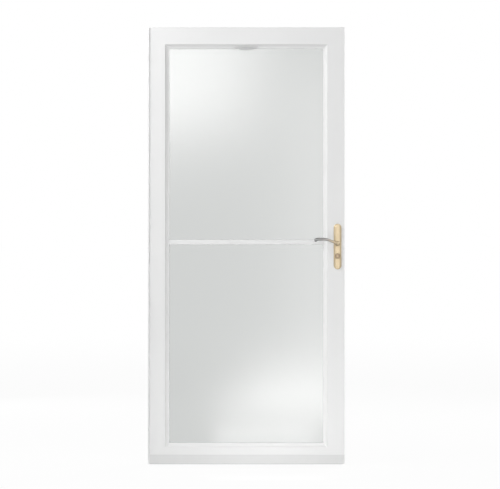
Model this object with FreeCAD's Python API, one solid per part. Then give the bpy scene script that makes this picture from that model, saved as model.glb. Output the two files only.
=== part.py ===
import FreeCAD, Part
import math
import os

# Aluminium storm door with its mounting rails, millimetres, +Z up.
# The origin lies on the hinge rail's screw face: x = 0 on that face, y = 0 half
# way across the rail, z = 0 at the sill. Outdoors is -Y and the latch is at +X.
# Depths are counted from the leaf's front face, positive towards indoors.

# Overall sizes
door_width = 914.0
door_height = 2032.0
leaf_thickness = 38.0

# Gaps between the leaf and the rails
edge_gap = 6.0
lip_clearance = 5.5
seal_gap = 7.0
sill_gap = 8.0

# Mounting rails
rail_wall = 2.0
hinge_stop_reach = 20.0
latch_stop_reach = 12.0
head_stop_reach = 18.0
rail_screw_hole = 5.0
rail_screw_inset = 11.0
hinge_screw_pitch = 360.0
latch_screw_pitch = 580.0
head_screw_pitch = 610.0

# Leaf members, one extrusion mitred round the four sides
member_width = 71.0
member_wall = 1.6
member_round = 1.5
lip_thickness = 3.5
cove_face = 19.0
cove_depth = 13.5
cove_sag = 3.0
cove_nose = 1.0
groove_width = 5.0
groove_depth = 10.0
fin_thickness = 1.5
track_width = 14.0
track_depth = 14.0
back_lip_setback = 6.0

# Continuous hinge
barrel_radius = 3.2
barrel_standout = 1.0
pin_radius = 1.5
pin_play = 0.05
hinge_leaf_thickness = 1.5
hinge_leaf_depth = 26.0
hinge_end_gap = 1.0
knuckle_count = 11
knuckle_gap = 0.4
knuckle_notch = 1.0

# Upper sash
sash_play = 0.5
sash_tongue = 13.0
sash_setback = 3.0
sash_lip = 4.0
sash_groove_width = 5.0
sash_groove_depth = 7.0
sash_bar_height = 1022.0
sash_bar_rise = 22.0

# Glass and what holds it
glass_thickness = 3.2
gasket_base = 2.0
gasket_show = 1.0
edge_trim_cover = 8.0
edge_trim_side_gap = 0.4
edge_trim_crown = 5.5
edge_trim_round = 3.5
meeting_seal_height = 6.0
meeting_seal_gap = 0.3
meeting_seal_inset = 2.0

# Bottom expander and sweep
expander_wall = 1.6
expander_height = 41.0
expander_floor_drop = 2.0
expander_hem = 3.0
sweep_fin = 2.0
sweep_inset = 7.0

# Weatherstrip
seal_width = 6.0
seal_rest_gap = 0.6
seal_end_gap = 60.0

# Lock and levers
handle_backset = 24.3
plate_height = 212.0
plate_width_outside = 36.0
plate_width_inside = 30.0
plate_thickness = 5.0
plate_boss_inset = 4.5
plate_boss_raise = 2.0
plate_bevel = 1.5
plate_centre_height = 1012.5
spindle_rise = 13.5
cylinder_drop = 44.0
neck_radius = 8.0
neck_play = 0.4
neck_cap = 1.5
collar_radius = 11.0
collar_gap = 0.5
collar_height = 3.5
lever_stand = 48.0
lever_half_width = 6.6
lever_half_depth = 5.5
lever_bevel = 2.6
lever_shank = 40.0
lever_knee_radius = 95.0
lever_grip = 18.0
lever_curl_radius = 15.0
lever_shank_slope = math.radians(21.0)
lever_grip_slope = math.radians(-1.0)
lever_tip_slope = math.radians(-52.0)
spindle_side = 8.0
spindle_socket = 20.0
stile_bore = 10.0
cylinder_radius = 9.5
cylinder_play = 0.2
cylinder_standout = 3.0
keyway_width = 2.4
keyway_height = 9.0
keyway_depth = 6.0
turn_length = 26.0
turn_width = 9.0
turn_standout = 15.0
lock_offset = 2.0
faceplate_height = 160.0
faceplate_width = 22.0
bolt_height = 16.0
bolt_width = 10.0
bolt_length = 30.0
bolt_play = 0.2
strike_height = 70.0
strike_width = 18.0
strike_slot_play = 1.5

# Finger pull and sash latches
pull_width = 112.0
pull_rise = 8.0
pull_drop = 6.0
pull_front = 1.0
pull_rake = 11.0
sash_latch_length = 44.0
sash_latch_height = 14.0
sash_latch_depth = 8.0
sash_latch_inset = 50.0

# Depths derived from the sizes above
rail_front = lip_thickness + lip_clearance
rail_back = leaf_thickness + seal_gap + rail_wall
front_y = -(rail_front + rail_back) / 2
stop_front = rail_back - rail_wall
groove_front = cove_depth + cove_nose
groove_back = groove_front + groove_width
track_front = groove_back + fin_thickness
track_back = track_front + track_width
lower_glass_front = groove_front + (groove_width - glass_thickness) / 2
lower_glass_back = lower_glass_front + glass_thickness
sash_front = track_front + sash_play
sash_back = track_back - sash_play
sash_groove_front = sash_front + sash_lip
sash_groove_back = sash_groove_front + sash_groove_width
upper_glass_front = sash_groove_front + (sash_groove_width - glass_thickness) / 2

# Edges of the leaf derived from the sizes above
leaf_left = rail_wall + 2 * barrel_radius
leaf_right = door_width - rail_wall - edge_gap
leaf_top = door_height - rail_wall - edge_gap
leaf_bottom = sill_gap
lip_reach = edge_gap + rail_wall
member_reach = member_width + cove_face
sight_left = leaf_left + member_reach
sight_right = leaf_right - member_reach
sight_top = leaf_top - member_reach
sight_bottom = leaf_bottom + member_reach
sash_width = sash_tongue - sash_setback
sash_left = sight_left - sash_tongue
sash_right = sight_right + sash_tongue
sash_top = sight_top + sash_tongue
hinge_x = rail_wall + barrel_radius
hinge_depth = -barrel_standout
handle_x = leaf_right - handle_backset
spindle_z = plate_centre_height + spindle_rise
cylinder_z = plate_centre_height - cylinder_drop
lock_depth = leaf_thickness / 2 + lock_offset
cut_over = 5.0


def at(x, depth, z):
    return FreeCAD.Vector(x, front_y + depth, z)


def block(x0, x1, depth0, depth1, z0, z1):
    return Part.makeBox(x1 - x0, depth1 - depth0, z1 - z0, at(x0, depth0, z0))


def rounded_wire(corners, place):
    # A corner is (a, b) or (a, b, radius); ("via", a, b) bends the side it sits in.
    solid_corners = [c for c in corners if c[0] != "via"]
    count = len(solid_corners)
    entries, exits, arcs = [], [], []
    for i, corner in enumerate(solid_corners):
        radius = corner[2] if len(corner) > 2 else 0.0
        here = FreeCAD.Vector(corner[0], corner[1], 0)
        if radius == 0.0:
            entries.append(here)
            exits.append(here)
            arcs.append(None)
            continue
        before = solid_corners[i - 1]
        after = solid_corners[(i + 1) % count]
        to_before = (FreeCAD.Vector(before[0], before[1], 0) - here).normalize()
        to_after = (FreeCAD.Vector(after[0], after[1], 0) - here).normalize()
        half = to_before.getAngle(to_after) / 2
        run = radius / math.tan(half)
        middle = (to_before + to_after).normalize()
        entries.append(here + to_before * run)
        exits.append(here + to_after * run)
        arcs.append(here + middle * (radius / math.sin(half) - radius))
    bends = {}
    seen = 0
    for c in corners:
        if c[0] == "via":
            bends[seen - 1] = FreeCAD.Vector(c[1], c[2], 0)
        else:
            seen += 1

    def put(p):
        return place(p.x, p.y)

    edges = []
    for i in range(count):
        if arcs[i] is not None:
            edges.append(Part.Arc(put(entries[i]), put(arcs[i]), put(exits[i])).toShape())
        following = entries[(i + 1) % count]
        if i in bends:
            edges.append(Part.Arc(put(exits[i]), put(bends[i]), put(following)).toShape())
        elif exits[i].distanceToPoint(following) > 1e-6:
            edges.append(Part.LineSegment(put(exits[i]), put(following)).toShape())
    return Part.Wire(edges)


def extruded(corners, place, along):
    return Part.Face(rounded_wire(corners, place)).extrude(along)


def upright(corners, x_of, z0, z1):
    return extruded(corners, lambda u, d: at(x_of(u), d, z0), FreeCAD.Vector(0, 0, z1 - z0))


def level(corners, z_of, x0, x1):
    return extruded(corners, lambda u, d: at(x0, d, z_of(u)), FreeCAD.Vector(x1 - x0, 0, 0))


def elevation_prism(points, depth0, depth1):
    corners = [at(x, depth0, z) for x, z in points]
    face = Part.Face(Part.makePolygon(corners + corners[:1]))
    return face.extrude(FreeCAD.Vector(0, depth1 - depth0, 0))


def mitre_zone(side, left, right, bottom, top, inward, outward):
    outer = {
        "lb": (left - outward, bottom - outward),
        "lt": (left - outward, top + outward),
        "rb": (right + outward, bottom - outward),
        "rt": (right + outward, top + outward),
    }
    inner = {
        "lb": (left + inward, bottom + inward),
        "lt": (left + inward, top - inward),
        "rb": (right - inward, bottom + inward),
        "rt": (right - inward, top - inward),
    }
    first, second = {
        "left": ("lb", "lt"),
        "right": ("rb", "rt"),
        "top": ("lt", "rt"),
        "bottom": ("lb", "rb"),
    }[side]
    points = [outer[first], outer[second], inner[second], inner[first]]
    return elevation_prism(points, -60.0, rail_back + 60.0)


def tidy(shape):
    shape = shape.removeSplitter()
    if shape.ShapeType != "Solid" and len(shape.Solids) == 1:
        shape = shape.Solids[0]
    return shape


def through_x(x, depth, z, radius, length):
    return Part.makeCylinder(radius, length, at(x, depth, z), FreeCAD.Vector(1, 0, 0))


def through_y(x, depth, z, radius, length):
    return Part.makeCylinder(radius, length, at(x, depth, z), FreeCAD.Vector(0, 1, 0))


nodes = {}


# Mounting rails, L sections mitred at the head corners
def rail_section(reach):
    return [
        (0.0, rail_front),
        (rail_wall, rail_front),
        (rail_wall, stop_front),
        (reach, stop_front),
        (reach, rail_back),
        (0.0, rail_back),
    ]


def rail_zone(side):
    span = max(hinge_stop_reach, latch_stop_reach, head_stop_reach) + cut_over
    return mitre_zone(side, 0.0, door_width, -3 * span, door_height, span, cut_over)


screw_depth = stop_front - rail_screw_inset
screw_mid_z = door_height / 2
screw_radius = rail_screw_hole / 2

hinge_rail = upright(rail_section(hinge_stop_reach), lambda u: u, 0.0, door_height + cut_over)
hinge_rail = hinge_rail.common(rail_zone("left"))
for step in (-2.5, -1.5, -0.5, 0.5, 1.5, 2.5):
    hole_z = screw_mid_z + step * hinge_screw_pitch
    hinge_rail = hinge_rail.cut(through_x(-cut_over, screw_depth, hole_z, screw_radius, 2 * cut_over))
nodes["hinge_rail"] = hinge_rail

latch_rail = upright(
    rail_section(latch_stop_reach), lambda u: door_width - u, 0.0, door_height + cut_over
)
latch_rail = latch_rail.common(rail_zone("right"))
for step in (-1.5, -0.5, 0.5, 1.5):
    hole_z = screw_mid_z + step * latch_screw_pitch
    latch_rail = latch_rail.cut(
        through_x(door_width - cut_over, screw_depth, hole_z, screw_radius, 2 * cut_over)
    )
strike_window = block(
    door_width - rail_wall - 1.0,
    door_width + 1.0,
    lock_depth - strike_width / 2,
    lock_depth + strike_width / 2,
    spindle_z - strike_height / 2,
    spindle_z + strike_height / 2,
)
nodes["latch_rail"] = latch_rail.cut(strike_window)

head_rail = level(
    rail_section(head_stop_reach), lambda u: door_height - u, -cut_over, door_width + cut_over
)
head_rail = head_rail.common(rail_zone("top"))
for step in (-0.5, 0.5):
    hole = Part.makeCylinder(
        screw_radius,
        2 * cut_over,
        at(door_width / 2 + step * head_screw_pitch, screw_depth, door_height - cut_over),
    )
    head_rail = head_rail.cut(hole)
nodes["head_rail"] = head_rail

strike = block(
    door_width - rail_wall,
    door_width,
    lock_depth - strike_width / 2,
    lock_depth + strike_width / 2,
    spindle_z - strike_height / 2,
    spindle_z + strike_height / 2,
)
strike_slot = block(
    door_width - rail_wall - 1.0,
    door_width + 1.0,
    lock_depth - bolt_width / 2 - strike_slot_play,
    lock_depth + bolt_width / 2 + strike_slot_play,
    spindle_z - bolt_height / 2 - strike_slot_play,
    spindle_z + bolt_height / 2 + strike_slot_play,
)
nodes["strike_plate"] = strike.cut(strike_slot)


# Bulb weatherstrips on the stop legs
def seal_section(centre):
    bulb = leaf_thickness + seal_rest_gap
    half = seal_width / 2
    return [
        (centre - half, stop_front),
        (centre - half, stop_front - 1.2),
        ("via", centre, bulb),
        (centre + half, stop_front - 1.2),
        (centre + half, stop_front),
    ]


seal_top = door_height - head_stop_reach - rail_wall
hinge_seal = upright(
    seal_section(hinge_stop_reach - seal_width / 2 - 1.0), lambda u: u, seal_end_gap, seal_top
)
nodes["hinge_weatherstrip"] = hinge_seal
latch_seal = upright(
    seal_section(latch_stop_reach - seal_width / 2 - 0.5),
    lambda u: door_width - u,
    seal_end_gap,
    seal_top,
)
nodes["latch_weatherstrip"] = latch_seal
head_seal = level(
    seal_section(head_stop_reach - seal_width / 2 - 1.0),
    lambda u: door_height - u,
    hinge_stop_reach + rail_wall,
    door_width - latch_stop_reach - rail_wall,
)
nodes["head_weatherstrip"] = head_seal


# Leaf members: a flat face, a cove down to the glass, a glass groove and a sash track
cove_chord = math.hypot(cove_face, cove_depth)
cove_mid = (
    member_width + cove_face / 2 - cove_sag * cove_depth / cove_chord,
    cove_depth / 2 + cove_sag * cove_face / cove_chord,
)


def member_section(lip):
    inner = member_reach
    back_inner = member_reach - back_lip_setback
    if lip:
        start = [(-lip_reach, 0.0, member_round)]
        end = [(0.0, lip_thickness), (-lip_reach, lip_thickness, member_round / 2)]
    else:
        start = [(0.0, 0.0, member_round)]
        end = []
    return start + [
        (member_width, 0.0),
        ("via",) + cove_mid,
        (inner, cove_depth),
        (inner, groove_front),
        (inner - groove_depth, groove_front),
        (inner - groove_depth, groove_back),
        (inner, groove_back),
        (inner, track_front),
        (inner - track_depth, track_front),
        (inner - track_depth, track_back),
        (back_inner, track_back),
        (back_inner, leaf_thickness, member_round / 2),
        (0.0, leaf_thickness, member_round),
    ] + end


chamber = [
    (member_wall, member_wall),
    (member_width - member_wall, member_wall),
    (member_width - member_wall, leaf_thickness - member_wall),
    (member_wall, leaf_thickness - member_wall),
]


def leaf_zone(side):
    return mitre_zone(
        side, leaf_left, leaf_right, leaf_bottom, leaf_top, member_reach + cut_over, lip_reach + cut_over
    )


def leaf_upright(x_of, lip, side):
    z0, z1 = leaf_bottom - cut_over, leaf_top + lip_reach + cut_over
    shape = upright(member_section(lip), x_of, z0, z1).cut(upright(chamber, x_of, z0, z1))
    return shape.common(leaf_zone(side))


def leaf_level(z_of, lip, side):
    x0, x1 = leaf_left - lip_reach - cut_over, leaf_right + lip_reach + cut_over
    shape = level(member_section(lip), z_of, x0, x1).cut(level(chamber, z_of, x0, x1))
    return shape.common(leaf_zone(side))


nodes["hinge_stile"] = leaf_upright(lambda u: leaf_left + u, False, "left").common(
    block(0.0, door_width, -30.0, 90.0, leaf_bottom, leaf_top)
)

latch_stile = leaf_upright(lambda u: leaf_right - u, True, "right")
latch_stile = latch_stile.cut(
    block(0.0, door_width + 50.0, -30.0, 90.0, leaf_bottom - 50.0, leaf_bottom)
)
for bore_z in (spindle_z, cylinder_z):
    latch_stile = latch_stile.cut(
        through_y(handle_x, -cut_over, bore_z, stile_bore, leaf_thickness + 2 * cut_over)
    )
faceplate_pocket = block(
    leaf_right - member_wall - 1.0,
    leaf_right + 1.0,
    lock_depth - faceplate_width / 2,
    lock_depth + faceplate_width / 2,
    spindle_z - faceplate_height / 2,
    spindle_z + faceplate_height / 2,
)
nodes["latch_stile"] = latch_stile.cut(faceplate_pocket)

top_rail = leaf_level(lambda u: leaf_top - u, True, "top")
nodes["top_rail"] = top_rail.cut(
    block(leaf_left - 50.0, leaf_left, -30.0, 90.0, leaf_top - 100.0, door_height + 50.0)
)
nodes["bottom_rail"] = leaf_level(lambda u: leaf_bottom + u, False, "bottom")


# Continuous hinge: alternating knuckles on one pin
hinge_z0 = hinge_end_gap
hinge_z1 = door_height - rail_wall - hinge_end_gap
knuckle_pitch = (hinge_z1 - hinge_z0) / knuckle_count
notch_reach = barrel_radius + knuckle_notch


def hinge_half(plate_x0, first, plate_z0, plate_z1):
    plate_x1 = plate_x0 + hinge_leaf_thickness
    pieces = [
        block(
            plate_x0, plate_x1, hinge_depth + notch_reach, hinge_depth + hinge_leaf_depth, plate_z0, plate_z1
        )
    ]
    for i in range(first, knuckle_count, 2):
        z0 = hinge_z0 + i * knuckle_pitch + knuckle_gap / 2
        z1 = hinge_z0 + (i + 1) * knuckle_pitch - knuckle_gap / 2
        axis_foot = at(hinge_x, hinge_depth, z0)
        knuckle = Part.makeCylinder(barrel_radius, z1 - z0, axis_foot)
        tab = block(plate_x0, plate_x1, hinge_depth, hinge_depth + notch_reach, z0, z1)
        bore = Part.makeCylinder(pin_radius + pin_play, z1 - z0, axis_foot)
        pieces.append(knuckle.fuse(tab).cut(bore))
    return pieces[0].multiFuse(pieces[1:])


nodes["hinge_fixed_leaf"] = hinge_half(hinge_x - barrel_radius, 0, hinge_z0, hinge_z1)
nodes["hinge_moving_leaf"] = hinge_half(
    hinge_x + barrel_radius - hinge_leaf_thickness, 1, leaf_bottom + hinge_end_gap, leaf_top - hinge_end_gap
)
nodes["hinge_pin"] = Part.makeCylinder(pin_radius, hinge_z1 - hinge_z0, at(hinge_x, hinge_depth, hinge_z0))


# Upper sash: slim members in the inner track, and a bar that meets the lower glass
def sash_section():
    return [
        (0.0, sash_front),
        (sash_width, sash_front),
        (sash_width, sash_groove_front),
        (sash_width - sash_groove_depth, sash_groove_front),
        (sash_width - sash_groove_depth, sash_groove_back),
        (sash_width, sash_groove_back),
        (sash_width, sash_back),
        (0.0, sash_back),
    ]


def sash_zone(side):
    return mitre_zone(
        side, sash_left, sash_right, -sash_bar_height, sash_top, sash_width + cut_over, cut_over
    )


sash_bar_top = sash_bar_height + sash_bar_rise
sash_z0, sash_z1 = sash_bar_height, sash_top + cut_over
nodes["sash_left_stile"] = upright(
    sash_section(), lambda u: sash_left + u, sash_z0, sash_z1
).common(sash_zone("left"))
nodes["sash_right_stile"] = upright(
    sash_section(), lambda u: sash_right - u, sash_z0, sash_z1
).common(sash_zone("right"))
nodes["sash_top_rail"] = level(
    sash_section(), lambda u: sash_top - u, sash_left - cut_over, sash_right + cut_over
).common(sash_zone("top"))
nodes["sash_bottom_rail"] = level(
    [
        (sash_bar_height, sash_front, 0.8),
        (sash_bar_top, sash_front, 0.8),
        (sash_bar_top, sash_groove_front),
        (sash_bar_top - sash_groove_depth, sash_groove_front),
        (sash_bar_top - sash_groove_depth, sash_groove_back),
        (sash_bar_top, sash_groove_back),
        (sash_bar_top, sash_back, 0.8),
        (sash_bar_height, sash_back, 0.8),
    ],
    lambda u: u,
    sash_left + sash_width,
    sash_right - sash_width,
)

# Upper glass and its gasket ring
pocket = sash_width - sash_groove_depth
bar_pocket = sash_bar_top - sash_groove_depth
upper_glass = block(
    sash_left + pocket + gasket_base,
    sash_right - pocket - gasket_base,
    upper_glass_front,
    upper_glass_front + glass_thickness,
    bar_pocket + gasket_base,
    sash_top - pocket - gasket_base,
)
nodes["upper_glass"] = upper_glass
upper_gasket = block(
    sash_left + pocket,
    sash_right - pocket,
    sash_groove_front,
    sash_groove_back,
    bar_pocket,
    sash_top - pocket,
)
upper_light = block(
    sash_left + sash_width + gasket_show,
    sash_right - sash_width - gasket_show,
    sash_groove_front - 1.0,
    sash_groove_back + 1.0,
    sash_bar_top + gasket_show,
    sash_top - sash_width - gasket_show,
)
nodes["upper_glass_gasket"] = upper_gasket.cut(upper_light).cut(upper_glass)

# Lower glass, the crowned trim on its top edge, and its gasket
groove_left = sight_left - groove_depth
groove_right = sight_right + groove_depth
groove_bottom = sight_bottom - groove_depth
lower_glass = block(
    groove_left + gasket_base,
    groove_right - gasket_base,
    lower_glass_front,
    lower_glass_back,
    groove_bottom + gasket_base,
    sash_bar_height + edge_trim_cover,
)
nodes["lower_glass"] = lower_glass
trim_front = groove_front + edge_trim_side_gap
trim_back = groove_back - edge_trim_side_gap
trim_core = block(groove_left, groove_right, trim_front, trim_back, sash_bar_height, sash_bar_top)
trim_crown = level(
    [
        (sash_bar_height, trim_front - edge_trim_crown, edge_trim_round),
        (sash_bar_top, trim_front - edge_trim_crown, edge_trim_round),
        (sash_bar_top, trim_front),
        (sash_bar_height, trim_front),
    ],
    lambda u: u,
    sight_left + edge_trim_side_gap,
    sight_right - edge_trim_side_gap,
)
nodes["lower_glass_edge_trim"] = tidy(trim_core.fuse(trim_crown).cut(lower_glass))
lower_gasket = block(
    groove_left, groove_right, groove_front, groove_back, groove_bottom, sash_bar_height
)
lower_light = block(
    sight_left + gasket_show,
    sight_right - gasket_show,
    groove_front - 1.0,
    groove_back + 1.0,
    sight_bottom + gasket_show,
    sash_bar_top,
)
nodes["lower_glass_gasket"] = lower_gasket.cut(lower_light).cut(lower_glass)

# Pile seal on the sash bar, against the back of the trim
seal_mid = (sash_bar_height + sash_bar_top) / 2
nodes["meeting_rail_seal"] = block(
    sight_left + meeting_seal_inset,
    sight_right - meeting_seal_inset,
    trim_back + meeting_seal_gap,
    sash_front,
    seal_mid - meeting_seal_height / 2,
    seal_mid + meeting_seal_height / 2,
)

# Bottom expander and its sweep
floor_top = leaf_bottom - expander_floor_drop
floor_bottom = floor_top - expander_wall
expander_top = floor_bottom + expander_height
hem_bottom = floor_bottom - expander_hem + 1.0
channel = level(
    [
        (hem_bottom, -expander_wall, 0.5),
        (expander_top, -expander_wall, 0.8),
        (expander_top, 0.0),
        (floor_top, 0.0),
        (floor_top, leaf_thickness),
        (expander_top, leaf_thickness),
        (expander_top, leaf_thickness + expander_wall, 0.8),
        (hem_bottom, leaf_thickness + expander_wall, 0.5),
        (hem_bottom, leaf_thickness),
        (floor_bottom, leaf_thickness),
        (floor_bottom, 0.0),
        (hem_bottom, 0.0),
    ],
    lambda u: u,
    leaf_left,
    leaf_right,
)
skirt = level(
    [
        (hem_bottom, -expander_wall, 0.5),
        (expander_top, -expander_wall, 0.8),
        (expander_top, 0.0),
        (hem_bottom, 0.0),
    ],
    lambda u: u,
    leaf_right,
    leaf_right + lip_reach,
)
nodes["bottom_expander"] = tidy(channel.fuse(skirt))
sweep_mid = leaf_thickness / 2
sweep_half = sweep_mid - sweep_inset
nodes["door_sweep"] = level(
    [
        (floor_bottom, sweep_mid - sweep_half),
        (floor_bottom, sweep_mid + sweep_half),
        (0.0, sweep_mid + sweep_half, 0.6),
        (0.0, sweep_mid + sweep_half - sweep_fin, 0.6),
        (floor_bottom - 1.6, sweep_mid + sweep_half - sweep_fin),
        (floor_bottom - 1.6, sweep_mid - sweep_half + sweep_fin),
        (0.0, sweep_mid - sweep_half + sweep_fin, 0.6),
        (0.0, sweep_mid - sweep_half, 0.6),
    ],
    lambda u: u,
    leaf_left + 1.0,
    leaf_right - 1.0,
)


# Escutcheon plates
def stadium(centre_z, width, height, depth0, depth1):
    r = width / 2
    straight = height / 2 - r
    z0, z1 = centre_z - straight, centre_z + straight
    a, b = at(handle_x - r, depth0, z0), at(handle_x - r, depth0, z1)
    c, d = at(handle_x + r, depth0, z1), at(handle_x + r, depth0, z0)
    wire = Part.Wire(
        [
            Part.LineSegment(a, b).toShape(),
            Part.Arc(b, at(handle_x, depth0, z1 + r), c).toShape(),
            Part.LineSegment(c, d).toShape(),
            Part.Arc(d, at(handle_x, depth0, z0 - r), a).toShape(),
        ]
    )
    return Part.Face(wire).extrude(FreeCAD.Vector(0, depth1 - depth0, 0))


def rim_edges(shape, depth):
    y = front_y + depth
    return [
        e for e in shape.Edges if abs(e.BoundBox.YMin - y) < 1e-4 and abs(e.BoundBox.YMax - y) < 1e-4
    ]


def escutcheon(width):
    base = stadium(plate_centre_height, width, plate_height, -plate_thickness, 0.0)
    base = base.makeChamfer(plate_bevel, rim_edges(base, -plate_thickness))
    boss_face = -plate_thickness - plate_boss_raise
    boss = stadium(
        plate_centre_height,
        width - 2 * plate_boss_inset,
        plate_height - 2 * plate_boss_inset,
        boss_face,
        -plate_thickness + 0.5,
    )
    boss = boss.makeChamfer(plate_bevel * 0.8, rim_edges(boss, boss_face))
    plate = base.fuse(boss)
    plate = plate.cut(through_y(handle_x, -60.0, spindle_z, neck_radius + neck_play, 120.0))
    plate = plate.cut(through_y(handle_x, -60.0, cylinder_z, cylinder_radius + cylinder_play, 120.0))
    return tidy(plate)


def indoors(shape):
    return shape.mirror(at(0.0, leaf_thickness / 2, 0.0), FreeCAD.Vector(0, 1, 0))


plate_face = -plate_thickness - plate_boss_raise
nodes["outside_escutcheon"] = escutcheon(plate_width_outside)
nodes["inside_escutcheon"] = indoors(escutcheon(plate_width_inside))

# Key cylinder outdoors and thumb turn indoors
cylinder_front = plate_face - cylinder_standout
cylinder = through_y(handle_x, cylinder_front, cylinder_z, cylinder_radius, -cylinder_front)
keyway = block(
    handle_x - keyway_width / 2,
    handle_x + keyway_width / 2,
    cylinder_front - 1.0,
    cylinder_front + keyway_depth,
    cylinder_z - keyway_height / 2,
    cylinder_z + keyway_height / 2,
)
nodes["key_cylinder"] = cylinder.cut(keyway)
turn_base_front = plate_face - 2.0
turn_base = through_y(handle_x, turn_base_front, cylinder_z, cylinder_radius, -turn_base_front)
turn_front = plate_face - turn_standout
turn_paddle = stadium(cylinder_z, turn_width, turn_length, turn_front, turn_base_front)
nodes["thumb_turn"] = indoors(tidy(turn_base.fuse(turn_paddle)))

# Levers on one square spindle
def heading(slope):
    return FreeCAD.Vector(-math.cos(slope), 0, math.sin(slope))


def below(slope):
    return FreeCAD.Vector(-math.sin(slope), 0, -math.cos(slope))


def on_bend(hub, radius, slope):
    return hub - below(slope) * radius


root_point = at(handle_x, -lever_stand + lever_half_depth, spindle_z)
shank_end = root_point + heading(lever_shank_slope) * lever_shank
knee_hub = shank_end + below(lever_shank_slope) * lever_knee_radius
grip_start = on_bend(knee_hub, lever_knee_radius, lever_grip_slope)
grip_end = grip_start + heading(lever_grip_slope) * lever_grip
curl_hub = grip_end + below(lever_grip_slope) * lever_curl_radius
curl_end = on_bend(curl_hub, lever_curl_radius, lever_tip_slope)
knee_mid = (lever_shank_slope + lever_grip_slope) / 2
curl_mid = (lever_grip_slope + lever_tip_slope) / 2


def lever_edge(side):
    # The run of points along one edge of the lever, side = 1 above and -1 below.
    off = side * lever_half_width
    return [
        root_point - below(lever_shank_slope) * off,
        shank_end - below(lever_shank_slope) * off,
        on_bend(knee_hub, lever_knee_radius + off, knee_mid),
        grip_start - below(lever_grip_slope) * off,
        grip_end - below(lever_grip_slope) * off,
        on_bend(curl_hub, lever_curl_radius + off, curl_mid),
        curl_end - below(lever_tip_slope) * off,
    ]


def edge_curves(run):
    return [
        Part.LineSegment(run[0], run[1]).toShape(),
        Part.Arc(run[1], run[2], run[3]).toShape(),
        Part.LineSegment(run[3], run[4]).toShape(),
        Part.Arc(run[4], run[5], run[6]).toShape(),
    ]


upper_run, lower_run = lever_edge(1), lever_edge(-1)
lever_tip = curl_end + heading(lever_tip_slope) * lever_half_width
lever_heel = root_point - heading(lever_shank_slope) * lever_half_width
lever_outline = Part.Wire(
    edge_curves(upper_run)
    + [Part.Arc(upper_run[6], lever_tip, lower_run[6]).toShape()]
    + list(reversed(edge_curves(lower_run)))
    + [Part.Arc(lower_run[0], lever_heel, upper_run[0]).toShape()]
)
lever_bar = Part.Face(lever_outline).extrude(FreeCAD.Vector(0, -2 * lever_half_depth, 0))
bar_front = -lever_stand - lever_half_depth
lever_bar = lever_bar.makeChamfer(lever_bevel, rim_edges(lever_bar, bar_front))

neck_end = bar_front - neck_cap
collar_face = plate_face - collar_gap - collar_height
neck = through_y(handle_x, neck_end, spindle_z, neck_radius, -neck_end - 0.5)
collar = through_y(handle_x, collar_face, spindle_z, collar_radius, collar_height)
socket_front = -plate_face - spindle_socket
socket = block(
    handle_x - spindle_side / 2,
    handle_x + spindle_side / 2,
    socket_front,
    cut_over,
    spindle_z - spindle_side / 2,
    spindle_z + spindle_side / 2,
)
lever = tidy(lever_bar.multiFuse([neck, collar]).cut(socket))
nodes["outside_lever"] = lever
nodes["inside_lever"] = indoors(lever)
nodes["lever_spindle"] = block(
    handle_x - spindle_side / 2,
    handle_x + spindle_side / 2,
    socket_front,
    leaf_thickness - socket_front,
    spindle_z - spindle_side / 2,
    spindle_z + spindle_side / 2,
)

# Lock faceplate and latch bolt in the leaf's edge
faceplate = block(
    leaf_right - member_wall,
    leaf_right,
    lock_depth - faceplate_width / 2,
    lock_depth + faceplate_width / 2,
    spindle_z - faceplate_height / 2,
    spindle_z + faceplate_height / 2,
)
bolt_hole = block(
    leaf_right - member_wall - 1.0,
    leaf_right + 1.0,
    lock_depth - bolt_width / 2 - bolt_play,
    lock_depth + bolt_width / 2 + bolt_play,
    spindle_z - bolt_height / 2 - bolt_play,
    spindle_z + bolt_height / 2 + bolt_play,
)
nodes["lock_faceplate"] = faceplate.cut(bolt_hole)
bolt_back = max(leaf_right - bolt_length, handle_x + spindle_side)
nodes["latch_bolt"] = block(
    bolt_back,
    leaf_right,
    lock_depth - bolt_width / 2,
    lock_depth + bolt_width / 2,
    spindle_z - bolt_height / 2,
    spindle_z + bolt_height / 2,
)

# Finger pull under the top rail's cove
pull_x = (sight_left + sight_right) / 2
pull_line = sight_top
pull_top = pull_line + pull_rise
pull_low = pull_line - pull_drop
half_pull = pull_width / 2
pull_points = [
    at(pull_x - half_pull, pull_front, pull_line + pull_rise * 0.45),
    at(pull_x, pull_front, pull_top),
    at(pull_x + half_pull, pull_front, pull_line + pull_rise * 0.45),
    at(pull_x, pull_front, pull_low),
]
lens = Part.Face(
    Part.Wire(
        [
            Part.Arc(pull_points[0], pull_points[1], pull_points[2]).toShape(),
            Part.Arc(pull_points[2], pull_points[3], pull_points[0]).toShape(),
        ]
    )
).extrude(FreeCAD.Vector(0, groove_front - pull_front, 0))
rake = level(
    [
        (pull_top + 1.0, pull_front - 2.0),
        (pull_top + 1.0, pull_front),
        (pull_low - 1.0, pull_front + pull_rake),
        (pull_low - 1.0, pull_front - 2.0),
    ],
    lambda u: u,
    pull_x - pull_width,
    pull_x + pull_width,
)
pull = lens.cut(rake).cut(nodes["top_rail"])
nodes["top_pull"] = max(pull.Solids, key=lambda s: s.Volume)


# Sash latches on the indoor face of the sash's bottom rail
def sash_latch(mid_x):
    z0 = sash_bar_height + (sash_bar_rise - sash_latch_height) / 2
    z1 = z0 + sash_latch_height
    half = sash_latch_length / 2
    body = level(
        [
            (z0, sash_back),
            (z0, sash_back + sash_latch_depth * 0.55, 1.0),
            (z0 + sash_latch_height * 0.35, sash_back + sash_latch_depth, 1.0),
            (z1 - 1.5, sash_back + sash_latch_depth * 0.75, 1.0),
            (z1, sash_back),
        ],
        lambda u: u,
        mid_x - half,
        mid_x + half,
    )
    return body


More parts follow.
